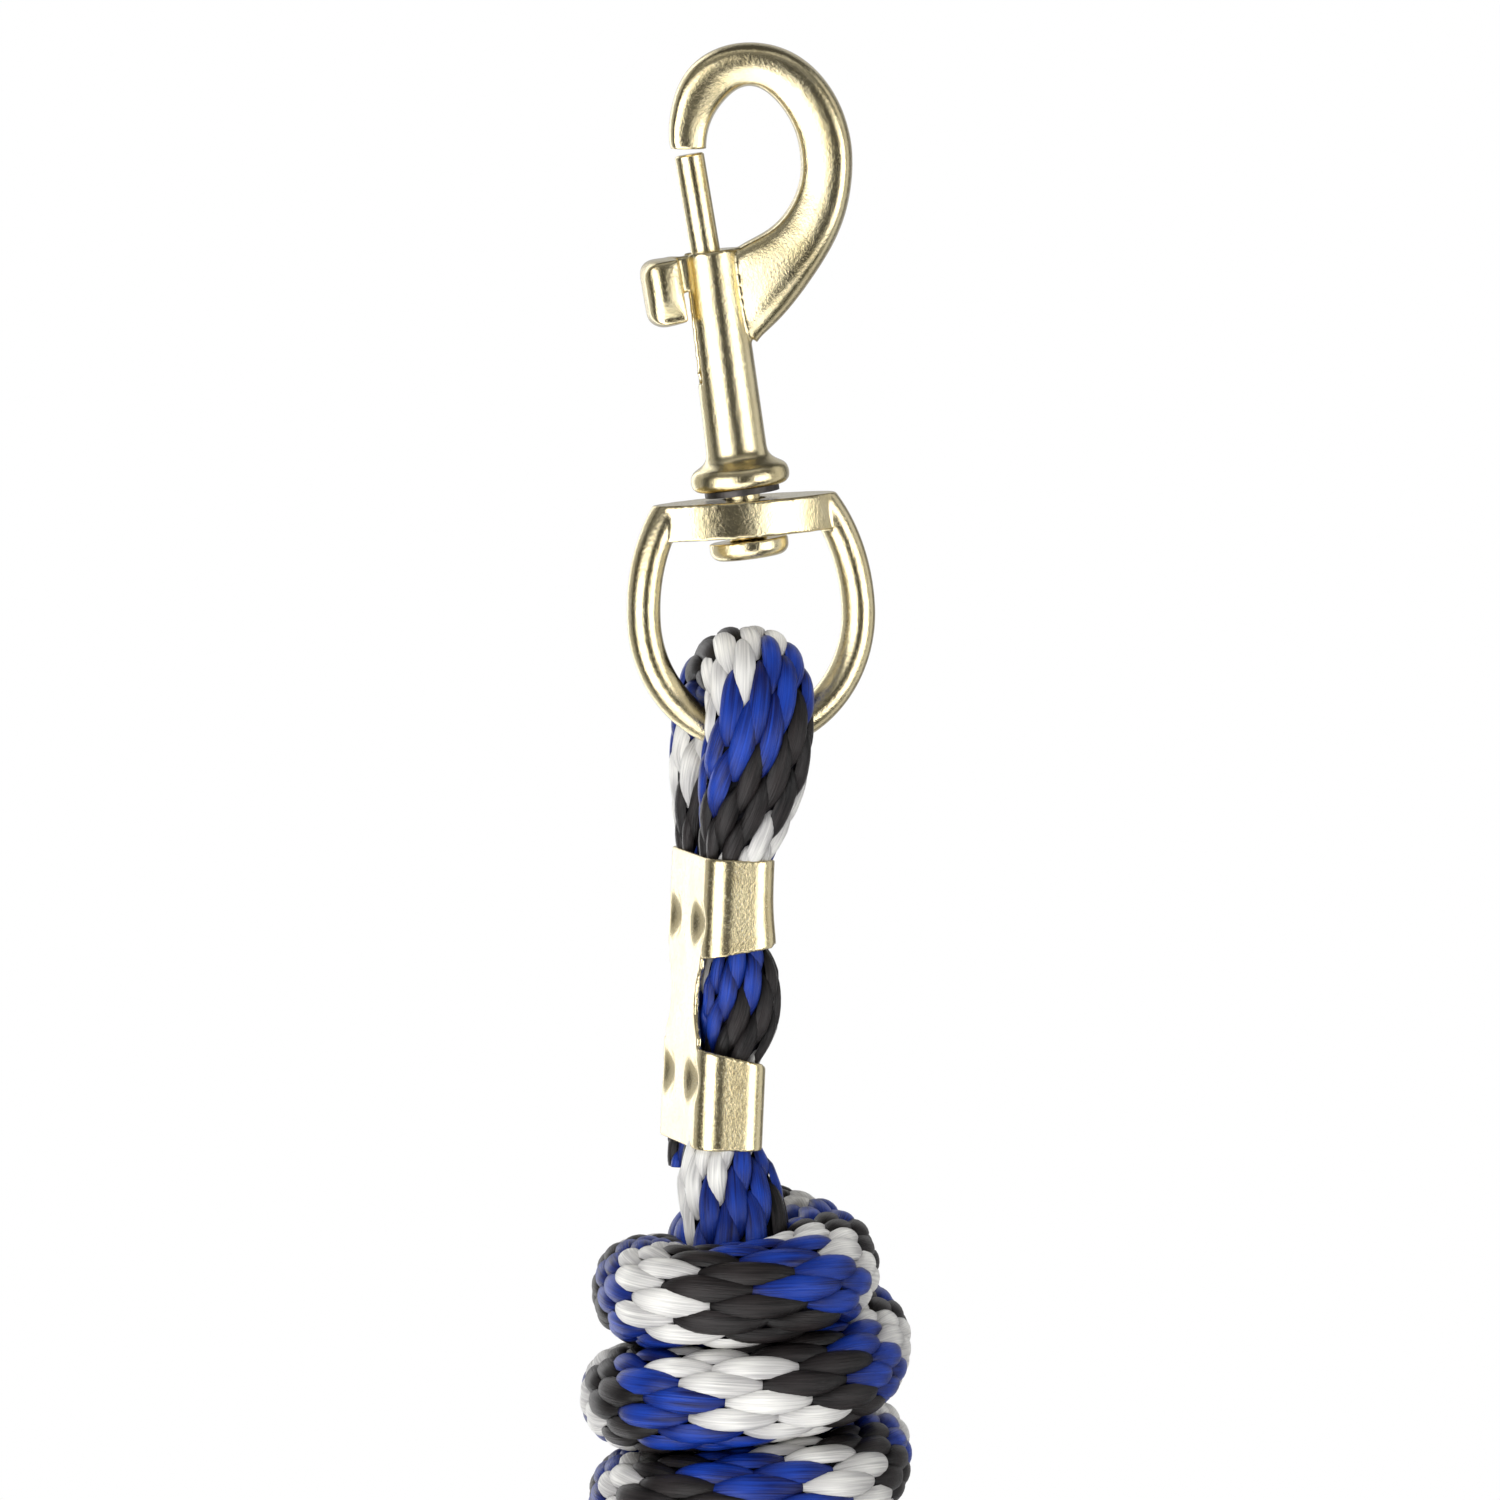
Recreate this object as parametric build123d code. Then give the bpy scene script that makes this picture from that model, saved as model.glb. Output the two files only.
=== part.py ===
from build123d import *
import math
import os

# A lead rope: a cast bolt snap with a swivel ring, and a braided rope whose eye is crimped round
# the ring. Millimetres and degrees. The origin is the crown of the hook's eye, where a halter ring
# bears and the whole thing hangs; +Z is up, +X points to the hook's arm, +Y is the back.

# Snap casting
BARREL_LEAN = 7.5           # the barrel's top leans towards -X
COLLAR_FOOT = Vector(-1.2, 0, -57.4)
COLLAR_RADIUS = 7.05
COLLAR_HEIGHT = 4.7
BARREL_FOOT_RADIUS = 4.35
BARREL_MOUTH_RADIUS = 4.0
BARREL_LENGTH = 34.2        # from the collar's lower face to the mouth
BARREL_NECK = 0.9           # above the collar, where the barrel starts straight
LIP_INSET = 1.4             # of the collar's lower face, inside its widest place
SHOULDER_INSET = 0.9        # of the collar's upper edge
SLOT_WIDTH = 2.9
SLOT_END_GAP = 0.7          # left below the knob's neck when the bolt is fully drawn
SLOT_TURN = 10.0            # the slot faces -X, turned this far to the front
# Hook arm, from the nose round to the barrel: inner edge (x, z), outer edge (x, z), half depth
ARM_STATIONS = [
    ((-6.3, -9.0), (-11.3, -9.0), 2.45),
    ((-6.05, -6.6), (-11.5, -5.2), 2.6),
    ((-5.1, -4.1), (-10.6, -1.0), 2.8),
    ((-3.1, -1.5), (-7.4, 3.7), 3.0),
    ((0.0, 0.0), (-0.2, 6.15), 3.15),
    ((2.9, -1.3), (6.6, 4.4), 3.2),
    ((5.2, -4.0), (11.4, -0.2), 3.25),
    ((6.8, -7.6), (13.9, -5.7), 3.3),
    ((7.3, -11.6), (14.6, -11.4), 3.35),
    ((6.7, -15.0), (14.0, -16.6), 3.4),
    ((5.0, -18.2), (12.4, -21.4), 3.4),
    ((2.5, -20.6), (9.8, -26.0), 3.3),
    ((-0.6, -22.3), (6.6, -30.5), 3.1),
    ((-3.2, -24.5), (3.6, -33.9), 2.7),
    ((-4.6, -29.0), (1.0, -36.7), 2.0),
]
# Half outline of the arm's section: share of the way from inner to outer edge, share of half depth
ARM_SECTION = [(0.0, 0.0), (0.035, 0.52), (0.3, 0.87), (0.6, 1.0), (0.86, 0.88), (0.965, 0.5), (1.0, 0.0)]

# Bolt, its knob and its spring
BOLT_LEAN = 9.6
BOLT_RADIUS = 2.1
BOLT_LENGTH = 24.0
BOLT_GAP = 0.8              # below the nose
BOLT_TRAVEL = 12.5
RUNNING_GAP = 0.09
BOLT_CHAMFER = 0.25
KNOB_SHANK_RADIUS = 1.15
KNOB_NECK_DROP = 17.5       # below the nose
KNOB_NECK_HEIGHT = 5.2
KNOB_DROP = 19.6
KNOB_HEIGHT = 9.1
KNOB_LENGTH = 5.1
KNOB_DEPTH = 7.0
KNOB_STAND_OFF = 0.6        # between the knob and the barrel's mouth
KNOB_ROUNDING = 2.3
NECK_GAP = 0.2              # between the knob's neck and the slot
SPRING_WIRE = 0.45
SPRING_TURNS = 8
SPRING_CLEARANCE = 0.15

# Swivel
STUD_RADIUS = 2.5
STUD_SEAT = 7.5             # how far the stud reaches into the barrel
STUD_HEAD_RADIUS = 5.65
STUD_HEAD_HEIGHT = 2.6
STUD_HEAD_ROUNDING = 1.56
WASHER_RADIUS = 5.35
WASHER_HEIGHT = 0.8
WASHER_BORE_GAP = 0.1
SWIVEL_GAP = 0.7            # above and below the ring's bar
SWIVEL_SLOP = 0.45          # round the stud
RING_LEAN = 3.6
TURN = 15.0                 # the ring, the eye and the clamp are turned about Z
BAR_HEIGHT = 5.2
BAR_HALF_LENGTH = 12.2
BAR_MID_DEPTH = 12.4
BAR_END_DEPTH = 4.8
WIRE_THICKNESS = 4.8
WIRE_DEPTH = 5.4
RING_HALF_WIDTH = 15.86     # to the wire's centre
RING_SHOULDER_DROP = 14.0   # bar centre to the widest place
RING_UPPER_RISE = 22.0      # half axis of the upper ellipse
RING_LOWER_DROP = 17.4      # half axis of the lower ellipse
EYE_SLIDE = -9.1            # where the rope sits on the lower ellipse, from its lowest place

# Rope: a firm round braid that is squeezed flatter over the ring and at the clamp
ROPE_DIAMETER = 16.0
EYE_THICKNESS = 0.78125 * ROPE_DIAMETER
EYE_WIDTH = 0.96875 * ROPE_DIAMETER
EYE_GAP = 0.55              # between the rope's eye and the ring's wire
EYE_ENTRY_DROP = 17.0       # from the ring's wire to the clamp's upper edge
EYE_ENTRY_INSET = 3.0       # the eye's legs close in by this much each at the clamp
NECK_THICKNESS = 0.825 * ROPE_DIAMETER
NECK_WIDTH = 0.925 * ROPE_DIAMETER

# Clamp
CLAMP_WIDTH = 24.4
CLAMP_THICKNESS = 10.2
CLAMP_HEIGHT = 41.7
CLAMP_SHEET = 0.8
CLAMP_CORNER = 3.4
CLAMP_LEAN = 2.6
NOTCH_ROOT = 6.2            # half height on the broad face
NOTCH_MOUTH = 8.7           # half height at the far side
NOTCH_DEPTH = 5.6           # into the broad face
SEAM_GAP = 0.6
DIMPLE_RADIUS = 3.2
DIMPLE_DEPTH = 0.6
DIMPLE_ACROSS = 6.4         # either side of the clamp's middle
DIMPLE_EDGE = 9.6           # from the clamp's upper and lower edge

# The tail end and the neck come out of the clamp's foot side by side
TAIL_LENGTH = 4.0
TAIL_WIDTH = CLAMP_THICKNESS + 0.2
TAIL_THICKNESS = CLAMP_WIDTH / 2 - CLAMP_SHEET - 2.0
NECK_SIDE = 0.7 - NECK_THICKNESS / 2

# Hank: the rope wound round its own two inner legs
WRAP_HALF_WIDTH = 1.45 * ROPE_DIAMETER
WRAP_HALF_DEPTH = 1.9375 * ROPE_DIAMETER
WRAP_HEIGHT = 163.0
WRAP_ROUNDING = 7.0
BIGHT_HALF_DEPTH = 1.5 * ROPE_DIAMETER
BIGHT_ROUNDING = 21.6
BIGHT_DROP = 52.0
# The free end, tucked through the bight, from the middle of the wraps' lower face (x, y, z)
END_ROUTE = [
    (-14.0, 7.0, 9.0),
    (-16.0, 5.0, -5.0),
    (-10.5, 2.0, -18.5),
    (3.0, 0.0, -25.5),
    (15.5, -1.0, -33.0),
    (21.0, -2.0, -47.0),
]
HANK_SHIFT = Vector(5.2, 0, -8.3)   # clamp's foot to the middle of the hank's top
OVERRUN = 3.0               # rope tubes are drawn this much too long, then cut to meet
THROUGH = 1.0               # cutters go this far past the faces they open


def leaning(lean, turn=0.0):
    """Unit vector up an axis whose top leans towards -X, turned about Z."""
    return Vector(-math.sin(math.radians(lean)), 0, math.cos(math.radians(lean))).rotate(Axis.Z, turn)


def frame_up(origin, lean, turn=0.0):
    """Plane whose local Z leans and whose local Y is level."""
    level = Vector(0, 1, 0).rotate(Axis.Z, turn)
    up = leaning(lean, turn)
    return Plane(origin=origin, x_dir=level.cross(up), z_dir=up)


def cylinder_between(radius, low, high):
    return Pos(0, 0, low) * Cylinder(radius, high - low, align=(Align.CENTER, Align.CENTER, Align.MIN))


def nose_centre():
    inner, outer = ARM_STATIONS[0][0], ARM_STATIONS[0][1]
    return Vector((inner[0] + outer[0]) / 2, 0, (inner[1] + outer[1]) / 2)


BARREL_FRAME = frame_up(COLLAR_FOOT, BARREL_LEAN)
BOLT_FRAME = frame_up(nose_centre(), BOLT_LEAN)
BAR_DROP = WASHER_HEIGHT + SWIVEL_GAP + BAR_HEIGHT / 2
BAR_CENTRE = BARREL_FRAME.from_local_coords(Vector(0, 0, -BAR_DROP))
RING_FRAME = frame_up(BAR_CENTRE, RING_LEAN, TURN)


def wire_point(slide):
    """Local (x, z) on the lower half of the ring's wire, and its slope there."""
    a = math.radians(slide)
    x = RING_HALF_WIDTH * math.sin(a)
    z = -RING_SHOULDER_DROP - RING_LOWER_DROP * math.cos(a)
    tangent = Vector(RING_HALF_WIDTH * math.cos(a), 0, RING_LOWER_DROP * math.sin(a)).normalized()
    return Vector(x, 0, z), tangent


def eye_frame():
    """Frame of the rope's eye: origin in the wire, X along the wire, Y back, Z up."""
    place, tangent = wire_point(EYE_SLIDE)
    origin = RING_FRAME.from_local_coords(place)
    along = RING_FRAME.from_local_coords(tangent) - RING_FRAME.origin
    back = Vector(0, 1, 0).rotate(Axis.Z, TURN)
    return Plane(origin=origin, x_dir=along, z_dir=along.cross(back))


EYE_FRAME = eye_frame()
EYE_RADIUS = max(WIRE_THICKNESS, WIRE_DEPTH) / 2 + EYE_GAP + EYE_THICKNESS / 2
CORNER = EYE_RADIUS * math.tan(math.radians(22.5))
# Half of the eye's route in its own frame (x, y, z), from the clamp to the crown
EYE_LEG = [
    (-0.8, EYE_RADIUS - EYE_ENTRY_INSET, -EYE_ENTRY_DROP),
    (-0.3, EYE_RADIUS - 0.7 * EYE_ENTRY_INSET, -0.62 * EYE_ENTRY_DROP),
    (0.0, EYE_RADIUS - 0.1 * EYE_ENTRY_INSET, -0.2 * EYE_ENTRY_DROP),
    (0.0, EYE_RADIUS, CORNER),
    (0.0, CORNER, EYE_RADIUS),
]
CLAMP_TOP = EYE_FRAME.from_local_coords(Vector(EYE_LEG[0][0], 0, EYE_LEG[0][2]))
CLAMP_FRAME = frame_up(CLAMP_TOP, -CLAMP_LEAN, TURN)
CLAMP_FOOT = CLAMP_FRAME.from_local_coords(Vector(0, 0, -CLAMP_HEIGHT))
HANK_TOP = CLAMP_FOOT + HANK_SHIFT
# The rope between the clamp and the hank, from the clamp's foot (x, y, z)
NECK_ROUTE = [
    (1.5, NECK_SIDE, 3.0),
    (1.7, NECK_SIDE - 0.2, -1.5),
    (2.5, NECK_SIDE - 0.8, -6.0),
    (3.9, NECK_SIDE - 1.5, -11.0),
]


def barrel_blank():
    """Barrel, neck and collar as one turned body."""
    lip = (COLLAR_RADIUS - LIP_INSET, 0)
    widest = (COLLAR_RADIUS, 0.4 * COLLAR_HEIGHT)
    shoulder = (COLLAR_RADIUS - SHOULDER_INSET, 0.7 * COLLAR_HEIGHT)
    neck = (BARREL_FOOT_RADIUS, COLLAR_HEIGHT + BARREL_NECK)
    inwards = (-1, 0.55)
    line = Polyline((0, 0), lip)
    line += Spline(lip, widest, shoulder, tangents=[(1, 0.15), inwards])
    line += Spline(shoulder, neck, tangents=[inwards, (0, 1)])
    line += Polyline(neck, (BARREL_MOUTH_RADIUS, BARREL_LENGTH), (0, BARREL_LENGTH), (0, 0))
    return revolve(Plane.XZ * make_face(line), Axis.Z)


def arm_section(inner, outer, half_depth):
    """One section of the hook's arm, rounded towards its outer edge and square at its inner rim."""
    low, high = Vector(inner[0], 0, inner[1]), Vector(outer[0], 0, outer[1])
    width = (high - low).length
    front = [(width * (t - 0.5), half_depth * d) for t, d in ARM_SECTION]
    back = [(x, -y) for x, y in reversed(front[1:-1])]
    across = (high - low).normalized()
    plane = Plane(origin=(low + high) * 0.5, x_dir=across, z_dir=across.cross(Vector(0, 1, 0)))
    return plane * make_face(Spline(front + back, periodic=True))


def hook_arm():
    return loft([arm_section(*station) for station in ARM_STATIONS])


def bore_floor():
    """Height of the barrel's floor in the bolt's frame."""
    return BOLT_FRAME.to_local_coords(BARREL_FRAME.from_local_coords(Vector(0, 0, STUD_SEAT))).Z


def slot_foot():
    """Foot of the slot in the barrel's frame: just below the knob's neck with the bolt drawn."""
    drawn = -KNOB_NECK_DROP - KNOB_NECK_HEIGHT / 2 - BOLT_TRAVEL
    lowest = BOLT_FRAME.from_local_coords(Vector(-BARREL_MOUTH_RADIUS, 0, drawn))
    return BARREL_FRAME.to_local_coords(lowest).Z - SLOT_END_GAP


def make_snap_body():
    body = BARREL_FRAME.location * barrel_blank() + hook_arm()
    bore = cylinder_between(BOLT_RADIUS + RUNNING_GAP, bore_floor(), -BOLT_GAP / 2)
    foot = slot_foot()
    opened = BARREL_LENGTH - foot + THROUGH
    slot = Box(2 * COLLAR_RADIUS, SLOT_WIDTH, opened, align=(Align.MAX, Align.CENTER, Align.MIN))
    slot = Rot(0, 0, SLOT_TURN) * Pos(0, 0, foot) * slot
    seat = cylinder_between(STUD_RADIUS, -THROUGH, STUD_SEAT)
    return body - BOLT_FRAME.location * bore - BARREL_FRAME.location * (slot + seat)


def knob_turned(shape):
    return Rot(0, 0, SLOT_TURN) * shape


def knob_shank(length):
    """The round pin that joins the knob to the bolt, from the bolt's axis outwards."""
    return Pos(0, 0, -KNOB_NECK_DROP) * Rot(0, -90, 0) * cylinder_between(KNOB_SHANK_RADIUS, 0, length)


def make_bolt():
    low = -BOLT_GAP - BOLT_LENGTH
    rod = cylinder_between(BOLT_RADIUS, low, -BOLT_GAP)
    rod = chamfer(rod.edges().filter_by(GeomType.CIRCLE), BOLT_CHAMFER)
    return BOLT_FRAME.location * (rod - knob_turned(knob_shank(BOLT_RADIUS + THROUGH)))


def make_thumb_stud():
    near = BARREL_MOUTH_RADIUS + KNOB_STAND_OFF
    knob = Box(KNOB_LENGTH, KNOB_DEPTH, KNOB_HEIGHT, align=(Align.MAX, Align.CENTER, Align.CENTER))
    knob = fillet(knob.edges().group_by(Axis.X)[0], KNOB_ROUNDING)
    knob = Pos(-near, 0, -KNOB_DROP) * knob
    start = BOLT_RADIUS + RUNNING_GAP
    reach = near - start + THROUGH
    beside = (Align.MAX, Align.CENTER, Align.CENTER)
    neck = Box(reach, SLOT_WIDTH - 2 * NECK_GAP, KNOB_NECK_HEIGHT, align=beside)
    neck = Pos(-start, 0, -KNOB_NECK_DROP) * neck
    return BOLT_FRAME.location * knob_turned(knob + neck + knob_shank(near))


def make_bolt_spring():
    low = bore_floor() + SPRING_WIRE / 2 + SPRING_CLEARANCE
    high = -BOLT_GAP - BOLT_LENGTH - SPRING_WIRE / 2 - SPRING_CLEARANCE
    radius = BOLT_RADIUS - SPRING_WIRE / 2 - SPRING_CLEARANCE
    helix = Helix((high - low) / SPRING_TURNS, high - low, radius, center=(0, 0, low))
    section = Plane(origin=helix @ 0, z_dir=helix % 0) * Circle(SPRING_WIRE / 2)
    return BOLT_FRAME.location * sweep(section, path=helix, is_frenet=True)


def stud_head_top():
    return -(BAR_DROP + BAR_HEIGHT / 2 + SWIVEL_GAP)


def make_swivel_stud():
    top = stud_head_top()
    shank = cylinder_between(STUD_RADIUS, top - STUD_HEAD_HEIGHT / 2, STUD_SEAT)
    head = cylinder_between(STUD_HEAD_RADIUS, top - STUD_HEAD_HEIGHT, top)
    lowest = head.edges().filter_by(GeomType.CIRCLE).sort_by(Axis.Z)[0]
    head = fillet(lowest, STUD_HEAD_ROUNDING)
    return BARREL_FRAME.location * (shank + head)


def make_swivel_washer():
    washer = cylinder_between(WASHER_RADIUS, -WASHER_HEIGHT, 0)
    washer -= cylinder_between(STUD_RADIUS + WASHER_BORE_GAP, -WASHER_HEIGHT - THROUGH, THROUGH)
    return BARREL_FRAME.location * washer


def ring_path():
    """The wire's centre line: two upper arcs of a tall ellipse and the lower half of a rounder one."""
    above_bar = RING_SHOULDER_DROP + BAR_HEIGHT / 2 + THROUGH
    reach = math.degrees(math.asin(above_bar / RING_UPPER_RISE))
    centre = (0, -RING_SHOULDER_DROP)
    tall, round_half = (RING_HALF_WIDTH, RING_UPPER_RISE), (RING_HALF_WIDTH, RING_LOWER_DROP)
    right = EllipticalCenterArc(centre, *tall, start_angle=0, arc_size=reach)
    lower = EllipticalCenterArc(centre, *round_half, start_angle=180, arc_size=180)
    left = EllipticalCenterArc(centre, *tall, start_angle=180 - reach, arc_size=reach)
    return Plane.XZ * Wire([left.edge(), lower.edge(), right.edge()])


def make_swivel_ring():
    path = ring_path()
    start = Plane(origin=path @ 0, x_dir=(0, 1, 0), z_dir=path % 0)
    wire = sweep(start * Ellipse(WIRE_DEPTH / 2, WIRE_THICKNESS / 2), path=path)
    around = 4 * RING_HALF_WIDTH
    above = Box(around, around, around, align=(Align.CENTER, Align.CENTER, Align.MIN))
    trim = Pos(0, 0, BAR_HEIGHT / 2) * above
    half, mid = BAR_END_DEPTH / 2, BAR_MID_DEPTH / 2
    front = ThreePointArc((-BAR_HALF_LENGTH, -half), (0, -mid), (BAR_HALF_LENGTH, -half))
    back = ThreePointArc((BAR_HALF_LENGTH, half), (0, mid), (-BAR_HALF_LENGTH, half))
    ends = Line(front @ 1, back @ 0) + Line(back @ 1, front @ 0)
    bar = extrude(make_face(front + back + ends), BAR_HEIGHT / 2, both=True)
    hole = cylinder_between(STUD_RADIUS + SWIVEL_SLOP, -BAR_HEIGHT, BAR_HEIGHT)
    return RING_FRAME.location * (wire - trim + bar - hole)


def corner_radii(points):
    """The arc at each inner point: 0.45 of the shorter run over the tangent of half the turn."""
    vectors = [Vector(*p) for p in points]
    radii = []
    for before, here, after in zip(vectors, vectors[1:], vectors[2:]):
        turn = math.radians((here - before).get_angle(after - here))
        radii.append(0.45 * min((here - before).length, (after - here).length) / math.tan(turn / 2))
    return radii


def rope_tube(name, points, thickness, width, side):
    """A rope tube of elliptical section; side is the direction in which the section is wide."""
    radii = corner_radii(points)
    path = FilletPolyline(*points, radius=radii)
    start = Plane(origin=path @ 0, x_dir=side, z_dir=path % 0)
    tube = sweep(start * Ellipse(width / 2, thickness / 2), path=path)
    expected = math.pi * width * thickness / 4 * path.length
    print(name, "arc radii", [round(r, 1) for r in radii], "length", round(path.length, 1))
    print(name, "volume over section x length", round(tube.volume / expected, 4))
    return tube


def lengthened(points, amount):
    """The same route with both ends carried on by some millimetres."""
    first, second = Vector(*points[0]), Vector(*points[1])
    last, before = Vector(*points[-1]), Vector(*points[-2])
    start = first + (first - second).normalized() * amount
    end = last + (last - before).normalized() * amount
    return [tuple(start), *points[1:-1], tuple(end)]


def make_rope_eye_loop():
    other_leg = [(x, -y, z) for x, y, z in reversed(EYE_LEG)]
    route = lengthened(EYE_LEG + other_leg, OVERRUN)
    tube = rope_tube("rope_eye_loop", route, EYE_THICKNESS, EYE_WIDTH, (1, 0, 0))
    return split(EYE_FRAME.location * tube, bisect_by=CLAMP_FRAME, keep=Keep.TOP)


def clamp_outline(shrink):
    thickness, width = CLAMP_THICKNESS - 2 * shrink, CLAMP_WIDTH - 2 * shrink
    return RectangleRounded(thickness, width, CLAMP_CORNER - shrink)


def notch_cutter(side):
    """Cuts one C-shaped notch in the broad face (-X) and opens it across the narrow side."""
    edge = side * CLAMP_WIDTH / 2
    face_cut = Plane.YZ * Pos(edge, 0) * Ellipse(NOTCH_DEPTH, NOTCH_ROOT)
    cut = extrude(face_cut, CLAMP_THICKNESS, both=True)
    x = CLAMP_THICKNESS / 2 + THROUGH
    corners = [(-x, -NOTCH_ROOT), (x, -NOTCH_MOUTH), (x, NOTCH_MOUTH), (-x, NOTCH_ROOT)]
    side_face = Plane.XZ * make_face(Polyline(*corners, close=True))
    band = extrude(side_face, CLAMP_CORNER, both=True)
    return cut + Pos(0, edge, 0) * band


def make_rope_clamp():
    outline = clamp_outline(0) - clamp_outline(CLAMP_SHEET)
    shell = extrude(outline, -CLAMP_HEIGHT)
    middle = Pos(0, 0, -CLAMP_HEIGHT / 2)
    x = CLAMP_THICKNESS / 2
    window = Pos(x, 0, 0) * Box(2 * CLAMP_SHEET, CLAMP_WIDTH, 2 * NOTCH_MOUTH)
    seam = Pos(x, 0, 0) * Box(3 * CLAMP_SHEET, SEAM_GAP, CLAMP_HEIGHT + 2 * THROUGH)
    shell -= middle * (notch_cutter(-1) + notch_cutter(1) + window + seam)
    ball_radius = (DIMPLE_RADIUS**2 + DIMPLE_DEPTH**2) / (2 * DIMPLE_DEPTH)
    for across in (-DIMPLE_ACROSS, DIMPLE_ACROSS):
        for height in (-DIMPLE_EDGE, DIMPLE_EDGE - CLAMP_HEIGHT):
            centre = Pos(-x + DIMPLE_DEPTH - ball_radius, across, height)
            shell -= centre * Rot(0, 0, 180) * Sphere(ball_radius)
    return CLAMP_FRAME.location * shell


def make_rope_in_clamp():
    return CLAMP_FRAME.location * extrude(clamp_outline(CLAMP_SHEET), -CLAMP_HEIGHT)


def make_rope_tail_end():
    inner_half = CLAMP_WIDTH / 2 - CLAMP_SHEET
    foot = Pos(0, inner_half / 2, -CLAMP_HEIGHT) * Ellipse(TAIL_WIDTH / 2, TAIL_THICKNESS / 2)
    return CLAMP_FRAME.location * extrude(foot, -TAIL_LENGTH)


def make_rope_neck():
    points = [tuple(CLAMP_FOOT + Vector(*p)) for p in NECK_ROUTE]
    across = Vector(1, 0, 0).rotate(Axis.Z, TURN)
    tube = rope_tube("rope_neck", lengthened(points, OVERRUN), NECK_THICKNESS, NECK_WIDTH, across)
    clamp_floor = Plane(origin=CLAMP_FOOT, x_dir=CLAMP_FRAME.x_dir, z_dir=CLAMP_FRAME.z_dir)
    tube = split(tube, bisect_by=clamp_floor, keep=Keep.BOTTOM)
    return split(tube, bisect_by=Plane(origin=HANK_TOP), keep=Keep.TOP)


def make_rope_hank():
    """Outer shape of the wound hank: the wraps, the bight below them and the tucked end."""
    outline = SlotOverall(2 * WRAP_HALF_DEPTH, 2 * WRAP_HALF_WIDTH, rotation=90)
    wraps = extrude(outline, -WRAP_HEIGHT)
    wraps = fillet(wraps.edges().filter_by(Plane.XY), WRAP_ROUNDING)
    slab = RectangleRounded(2 * BIGHT_HALF_DEPTH, 2 * BIGHT_DROP, BIGHT_ROUNDING)
    bight = extrude(Plane.YZ * Pos(0, -WRAP_HEIGHT) * slab, ROPE_DIAMETER / 2, both=True)
    end = rope_tube("tucked end", END_ROUTE, ROPE_DIAMETER, ROPE_DIAMETER, (0, 1, 0))
    return Pos(*HANK_TOP) * (wraps + bight + Pos(0, 0, -WRAP_HEIGHT) * end)


MAKERS = {
    "snap_body": make_snap_body,
    "bolt": make_bolt,
    "thumb_stud": make_thumb_stud,
    "bolt_spring": make_bolt_spring,
    "swivel_stud": make_swivel_stud,
    "swivel_washer": make_swivel_washer,
    "swivel_ring": make_swivel_ring,
    "rope_clamp": make_rope_clamp,
    "rope_eye_loop": make_rope_eye_loop,
    "rope_in_clamp": make_rope_in_clamp,
    "rope_tail_end": make_rope_tail_end,
    "rope_neck": make_rope_neck,
    "rope_hank": make_rope_hank,
}

os.makedirs("parts", exist_ok=True)
for node, maker in MAKERS.items():
    export_step(maker(), f"parts/{node}.step")

print("rope eye hangs at", [round(v, 2) for v in EYE_FRAME.origin], "along", tuple(EYE_FRAME.x_dir))
print("ring turns about", [round(v, 2) for v in RING_FRAME.origin], "along", tuple(RING_FRAME.z_dir))
print("bolt slides along", tuple(BOLT_FRAME.z_dir))
print("clamp foot", [round(v, 2) for v in CLAMP_FOOT], "hank top", [round(v, 2) for v in HANK_TOP])
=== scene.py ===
import math

import bpy
import numpy as np
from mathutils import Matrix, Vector
from mathutils.kdtree import KDTree


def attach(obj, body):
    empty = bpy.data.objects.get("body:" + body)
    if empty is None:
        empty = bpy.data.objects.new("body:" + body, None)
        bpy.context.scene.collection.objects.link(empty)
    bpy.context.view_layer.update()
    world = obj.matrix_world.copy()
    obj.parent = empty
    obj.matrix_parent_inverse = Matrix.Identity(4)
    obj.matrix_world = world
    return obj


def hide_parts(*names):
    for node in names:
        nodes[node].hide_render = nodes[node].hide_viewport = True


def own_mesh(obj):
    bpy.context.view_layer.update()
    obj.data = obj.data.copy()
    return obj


# A lead rope that hangs by its bolt snap. Names in capitals and tables give lengths in millimetres
# in the part's frame, and MM turns them into metres.

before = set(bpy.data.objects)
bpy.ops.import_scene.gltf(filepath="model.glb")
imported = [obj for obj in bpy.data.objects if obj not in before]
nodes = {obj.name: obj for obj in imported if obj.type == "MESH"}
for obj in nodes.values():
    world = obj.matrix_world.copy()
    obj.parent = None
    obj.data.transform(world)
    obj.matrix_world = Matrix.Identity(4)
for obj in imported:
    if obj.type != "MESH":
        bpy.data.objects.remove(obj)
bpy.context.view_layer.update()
MM = 0.001
rng = np.random.default_rng(11)

# ---------------------------------------------------------------- camera
VIEW_ELEVATION = 5.0
VIEW_DISTANCE = 2.0                      # metres, as is the centre
VIEW_CENTRE = Vector((0.0, 0.0, -0.0949))
LENS, SENSOR = 336.0, 36.0


def make_camera():
    """A long lens in front of the snap, looking slightly down on it."""
    data = bpy.data.cameras.new("camera")
    data.lens, data.sensor_width = LENS, SENSOR
    camera = bpy.data.objects.new("camera", data)
    tilt = math.radians(VIEW_ELEVATION)
    back = Vector((0, -math.cos(tilt), math.sin(tilt)))
    camera.location = VIEW_CENTRE + back * VIEW_DISTANCE
    camera.rotation_euler = (math.radians(90 - VIEW_ELEVATION), 0, 0)
    bpy.context.scene.collection.objects.link(camera)
    bpy.context.scene.camera = camera


make_camera()

# ---------------------------------------------------------------- the rope's route
ROPE_DIAMETER = 16.0
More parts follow.
